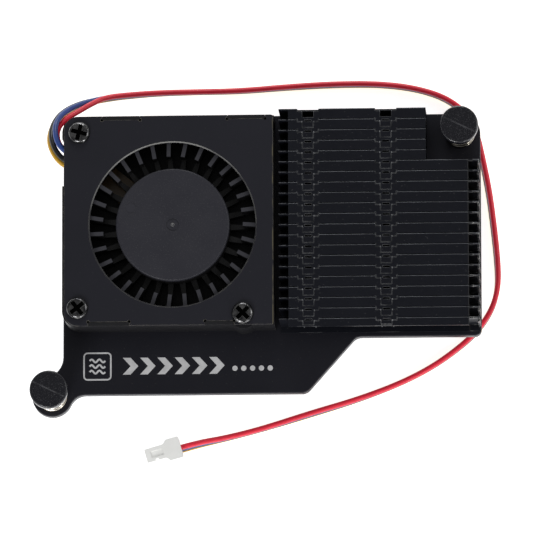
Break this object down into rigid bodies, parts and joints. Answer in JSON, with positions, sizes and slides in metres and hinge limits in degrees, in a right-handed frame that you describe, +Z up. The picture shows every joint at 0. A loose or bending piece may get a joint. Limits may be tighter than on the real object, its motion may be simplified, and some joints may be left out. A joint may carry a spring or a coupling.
{
  "type": "active cooler for a single board computer",
  "caption": "Low black active cooler: a flat blower beside a stack of folded fins on a plate, with two sprung push pins and a four-wire lead.",
  "frame": {"origin": "centre of the footprint of the cooler without its lead, at the level of the push-pin tips", "axes": "+X runs from the blower to the fins, +Y towards the side where the lead leaves, +Z up from the plate to the fan inlet"},
  "size_m": [0.0664, 0.0553, 0.0146],
  "materials": {
    "plate_anodised": "black anodised satin",
    "fin_anodised": "black anodised satin",
    "housing_plastic": "fine matte moulding",
    "cover_coat": "matte black coating",
    "screw_black": "glossy black plating",
    "impeller_plastic": "fine grained moulding",
    "rotor_steel": "ground steel",
    "magnet_ferrite": "bonded ferrite",
    "core_steel": "laminated steel",
    "insulator_plastic": "natural nylon",
    "coil_copper": "enamelled copper",
    "board_mask": "solder mask",
    "chip_black": "moulded epoxy",
    "bearing_bronze": "sintered bronze",
    "thrust_plastic": "natural plastic",
    "pin_nylon": "satin nylon",
    "spring_nickel": "bright nickel",
    "pad_silicone": "soft silicone",
    "wire_red_pvc": "smooth insulation",
    "wire_blue_pvc": "smooth insulation",
    "wire_black_pvc": "smooth insulation",
    "wire_yellow_pvc": "smooth insulation",
    "plug_white": "natural white nylon",
    "contact_tin": "tin plated"
  },
  "bodies": {
    "cooler": {"base_plate": "plate_anodised", "fin_01": "fin_anodised", "fin_02": "fin_anodised", "fin_03": "fin_anodised", "fin_04": "fin_anodised", "fin_05": "fin_anodised", "fin_06": "fin_anodised", "fin_07": "fin_anodised", "fin_08": "fin_anodised", "fin_09": "fin_anodised", "fin_10": "fin_anodised", "fin_11": "fin_anodised", "fin_12": "fin_anodised", "fin_13": "fin_anodised", "fin_14": "fin_anodised", "fin_15": "fin_anodised", "fin_16": "fin_anodised", "fin_17": "fin_anodised", "fin_18": "fin_anodised", "fin_19": "fin_anodised", "fin_20": "fin_anodised", "fin_21": "fin_anodised", "blower_housing": "housing_plastic", "lead_block": "housing_plastic", "blower_cover": "cover_coat", "cover_screws": "screw_black", "stator_core": "core_steel", "stator_insulators": "insulator_plastic", "stator_coils": "coil_copper", "motor_pcb": "board_mask", "driver_chip": "chip_black", "hall_sensor": "chip_black", "chip_capacitors": "chip_black", "bearing_sleeve": "bearing_bronze", "thrust_pad": "thrust_plastic", "spring_a": "spring_nickel", "spring_b": "spring_nickel", "thermal_pad_processor": "pad_silicone", "thermal_pad_power": "pad_silicone", "thermal_pad_wireless": "pad_silicone", "wire_red": "wire_red_pvc", "wire_blue": "wire_blue_pvc", "wire_black": "wire_black_pvc", "wire_yellow": "wire_yellow_pvc", "plug_housing": "plug_white", "plug_contacts": "contact_tin"},
    "rotor": {"impeller": "impeller_plastic", "rotor_yoke": "rotor_steel", "rotor_magnet": "magnet_ferrite", "rotor_shaft": "rotor_steel"},
    "push_pin_a": {"push_pin_a": "pin_nylon"},
    "push_pin_b": {"push_pin_b": "pin_nylon"}
  },
  "joints": [
    {"name": "fan_spin", "type": "hinge", "parent": "cooler", "child": "rotor", "pos_m": [-0.01158, 0.00495, 0.01], "axis": [0, 0, 1], "continuous": true},
    {"name": "push_pin_a_press", "type": "slide", "parent": "cooler", "child": "push_pin_a", "axis": [0, 0, -1], "range_m": [0, 0.0025], "stiffness_N_per_m": 900, "deforming": ["spring_a"]},
    {"name": "push_pin_b_press", "type": "slide", "parent": "cooler", "child": "push_pin_b", "axis": [0, 0, -1], "range_m": [0, 0.0025], "stiffness_N_per_m": 900, "deforming": ["spring_b"]}
  ]
}
